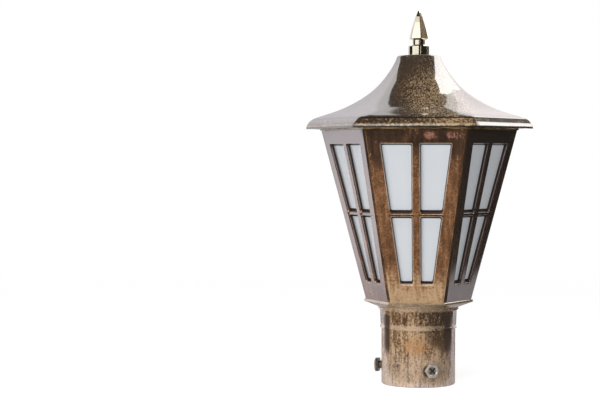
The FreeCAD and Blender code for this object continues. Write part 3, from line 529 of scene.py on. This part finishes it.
# painted highlight: a band of bare gold along the lip's roll
lip_highlight = height.band(*LIP_HIGHLIGHT, 0.0005) * 0.4
matt_right = height.band(*FASCIA_MATT, FASCIA_BLUR) * across.over(0.035, 0.055)
dull_front = height.band(*LIP_DULL, FASCIA_BLUR) * (0.0 - place.axis(1)).over(0.092, 0.095)
scuff = place.blot((-0.081, -0.040, 0.2690), (0.0045, 0.02, 0.0011), turn=(0.0, -0.6, 0.0))
scratches = (hatch - 1.0) * (front * 0.5 + rubbing_and_painted_light * 1.7) * (1.0 - fascia)
antique(place, (ROOF_LACQUER, ROOF_COPPER, ROOF_GOLD),
        scratches + sand * (0.4 + 0.6 * fascia) + 0.3 - 0.3 * fascia, lean=rubbing_and_painted_light * 0.35 - 0.15,
        fleck=rubbing_and_painted_light * 0.25 + fascia * 0.12 - 0.12, cloud=55.0, bare=lip_highlight, dark=scuff,
        dull=matt_right + 0.65 * dull_front, stain=painted_crease_shade * 0.9, stain_tone=ROOF_PAINTED_SHADE)
dress(roof_finish, "roof")

# Finial: the nut that holds the roof, polished brass, turned below and six-sided above.
# It is bright all over, with a thin film of tarnish.
FINIAL_TARNISH = (0.74, 0.68, 0.53, 1)
FINIAL_BRIGHT = (0.88, 0.85, 0.76, 1)
polished, start = new_finish("polished brass")
film = start.coordinates().noise((90, 90, 90), 2.0)
coat_with(start, {"Base Color": film.mix(FINIAL_TARNISH, FINIAL_BRIGHT), "Metallic": 1.0,
                  "Roughness": film * 0.08 + 0.1})
dress(polished, "finial")

# Studio: a pale floor in white surroundings, with three softboxes that light the lamp from the front. Dark
# screens and pale reflectors stand round it, which show only in reflections, as does the floor's own glow,
# bright behind the lamp and dim in front of it.
WHITE = (1, 1, 1, 1)
FLOOR_RADIUS = 8.0
FLOOR_GREY = (0.5, 0.5, 0.5, 1)
FLOOR_SHADE = (0.45, 0.45, 0.45, 1)
GLOW_DIM = (0.035, 0.026, 0.018, 1)
GLOW_BRIGHT = (1.10, 1.02, 1.06, 1)
WORLD_LIGHT = 0.15


def rays(start, *kinds):
    """1 for rays of the kinds named, such as those that leave the camera."""
    return sum(start.add("LightPath", {}, {}, out="Is %s Ray" % kind) for kind in kinds)


floor_mesh = bpy.data.meshes.new("floor")
sheet = bmesh.new()
bmesh.ops.create_circle(sheet, cap_ends=True, segments=64, radius=FLOOR_RADIUS)
sheet.to_mesh(floor_mesh)
sheet.free()
floor = bpy.data.objects.new("floor", floor_mesh)
bpy.context.collection.objects.link(floor)
pale, start = new_finish("pale floor")
spot = start.coordinates()
from_lamp = spot.length()
east = spot.axis(0)
# what reflections show: bright floor behind the lamp, shaded in its middle, and a pale card to the right
behind = (spot.axis(1) - 0.74 * spot.math("ABSOLUTE", east) - 0.16 * east).over(-0.10, -0.05)
near = from_lamp.over(0.2, 0.7) * 0.5 + 0.45
card = spot.blot((0.295, 0.142, 0.0), (0.13, 0.13, 1.0)) * 0.38
shade = 1.0 - 0.8 * spot.blot((0.0, 0.42, 0.0), (0.42, 0.30, 1.0))
glow = start.add("Emission", {}, {"Color": (behind * near * shade + card).mix(GLOW_DIM, GLOW_BRIGHT)})
# what the camera sees: a floor with a faint shadow, which fades to white away from the lamp
plain = start.add("BsdfDiffuse", {}, {"Color": FLOOR_GREY})
white = start.add("Emission", {}, {"Color": WHITE})
shown = start.add("AddShader", {}, {0: start.add("BsdfDiffuse", {}, {"Color": FLOOR_SHADE}),
                                    1: start.add("Emission", {}, {"Color": WHITE, "Strength": 0.8})})
shown = start.add("MixShader", {}, {0: from_lamp.over(0.3, 1.6), 1: shown, 2: white})
surface = start.add("MixShader", {}, {0: rays(start, "Camera", "Transmission"), 1: plain, 2: shown})
surface = start.add("MixShader", {}, {0: rays(start, "Glossy"), 1: surface, 2: glow})
start.add("OutputMaterial", {}, {"Surface": surface})
floor_mesh.materials.append(pale)

world = bpy.data.worlds.new("white studio")
bpy.context.scene.world = world
world.use_nodes = True
world.node_tree.nodes.clear()
start = Wire(world.node_tree)
lit = start.add("Background", {}, {"Color": WHITE, "Strength": WORLD_LIGHT})
white = start.add("Background", {}, {"Color": WHITE, "Strength": 1.0})
seen = rays(start, "Camera", "Transmission", "Glossy")
start.add("OutputWorld", {}, {"Surface": start.add("MixShader", {}, {0: seen, 1: lit, 2: white})})

BEARING = math.radians(1.8)
BLACK_CLOTH = (0.020, 0.016, 0.012, 1)
LEFT_FOOT = (0.60, 0.585, 0.605, 1)
LEFT_HEAD = (1.20, 1.15, 1.20, 1)
RIGHT_CARD = (2.4, 2.35, 2.3, 1)
BACK_CARD = (1.5, 1.41, 1.395, 1)
FRONT_CARD = (1.4, 1.37, 1.32, 1)
BROWN_CARD = (0.20, 0.15, 0.10, 1)
# name, distance and height of the foot and of the head, degrees from and to, colours of foot and head
SCREENS = (
    ("screen_front", (1.60, 0.0), (1.60, 2.60), -121, 97, BLACK_CLOTH, BLACK_CLOTH),
    ("screen_right", (0.60, 0.0), (0.60, 0.40), 70, 150, BLACK_CLOTH, BLACK_CLOTH),
    ("screen_overhead", (0.01, 1.42), (0.90, 1.42), 0, 360, BLACK_CLOTH, BLACK_CLOTH),
    ("screen_boom", (1.30, 1.0), (0.85, 1.42), 176.5, 183.5, BLACK_CLOTH, BLACK_CLOTH),
    ("reflector_left", (1.60, 0.0), (1.60, 1.45), -180, -121, LEFT_FOOT, LEFT_HEAD),
    ("reflector_right", (1.50, 0.34), (0.50, 1.30), 97, 150, RIGHT_CARD, RIGHT_CARD),
    ("reflector_back", (1.60, 0.0), (1.60, 1.45), 150, 180, BACK_CARD, BACK_CARD),
    ("reflector_front", (1.50, 0.40), (1.50, 1.50), -75, -2, FRONT_CARD, FRONT_CARD),
    ("reflector_strip", (1.50, 0.40), (1.50, 1.50), 17, 21, FRONT_CARD, FRONT_CARD),
    ("reflector_dim", (1.48, 0.85), (1.48, 1.50), 80, 104, BROWN_CARD, BROWN_CARD),
)
for name, low, high, start_turn, end_turn, foot_colour, head_colour in SCREENS:
    shade, start = new_finish(name)
    climb = start.coordinates().axis(2).over(low[1], high[1] + 0.001)
    lining = start.add("Emission", {}, {"Color": climb.mix(foot_colour, head_colour)})
    start.add("OutputMaterial", {}, {"Surface": lining})
    screen_mesh = bpy.data.meshes.new(name)
    cloth = bmesh.new()
    upright = cloth.edges.new([cloth.verts.new((0, -distance, z)) for distance, z in (low, high)])
    bmesh.ops.rotate(cloth, verts=cloth.verts, cent=(0, 0, 0),
                     matrix=Matrix.Rotation(BEARING + math.radians(start_turn), 3, "Z"))
    bmesh.ops.spin(cloth, geom=[upright, *upright.verts], axis=(0, 0, 1), cent=(0, 0, 0),
                   angle=math.radians(end_turn - start_turn), steps=36)
    cloth.to_mesh(screen_mesh)
    cloth.free()
    screen_mesh.materials.append(shade)
    screen = bpy.data.objects.new(name, screen_mesh)
    bpy.context.collection.objects.link(screen)
    screen.visible_camera = False
    screen.visible_diffuse = False
    screen.visible_shadow = False
    screen.visible_transmission = False

# name, place, size in metres and power in watts
SOFTBOXES = (
    ("softbox_key", (-0.55, -1.42, 0.25), 0.8, 21.0),
    ("softbox_left", (-0.9, -0.7, 1.4), 0.9, 8.0),
    ("softbox_right", (0.45, -0.7, 1.9), 0.9, 17.0),
)
LAMP_MIDDLE = Vector((0, 0, 0.2))
for name, place, size, power in SOFTBOXES:
    lamp = bpy.data.lights.new(name, "AREA")
    lamp.energy = power
    lamp.size = size
    box = bpy.data.objects.new(name, lamp)
    box.location = place
    box.rotation_euler = (LAMP_MIDDLE - Vector(place)).to_track_quat("-Z", "Y").to_euler()
    box.visible_glossy = False
    bpy.context.collection.objects.link(box)

# Camera: level with the upper windows and a little to the right of the front face.
# It is turned to the left and slightly down, so that the lamp stands right of the middle of the picture.
# the width and the focal length are in pixels, the turns in radians
IMAGE_WIDTH = 600
DISTANCE = 1.6
EYE_HEIGHT = 0.2261
FOCAL = 1590.5
SENSOR = 36.0
YAW = 0.07444
PITCH = 0.02875
eye = bpy.data.cameras.new("camera")
eye.sensor_width = SENSOR
eye.lens = FOCAL * SENSOR / IMAGE_WIDTH
camera = bpy.data.objects.new("camera", eye)
camera.location = (DISTANCE * math.sin(BEARING), -DISTANCE * math.cos(BEARING), EYE_HEIGHT)
camera.rotation_euler = (math.pi / 2 - PITCH, 0, BEARING + YAW)
bpy.context.collection.objects.link(camera)
bpy.context.scene.camera = camera
bpy.context.scene.view_settings.view_transform = "Standard"

bpy.context.view_layer.update()
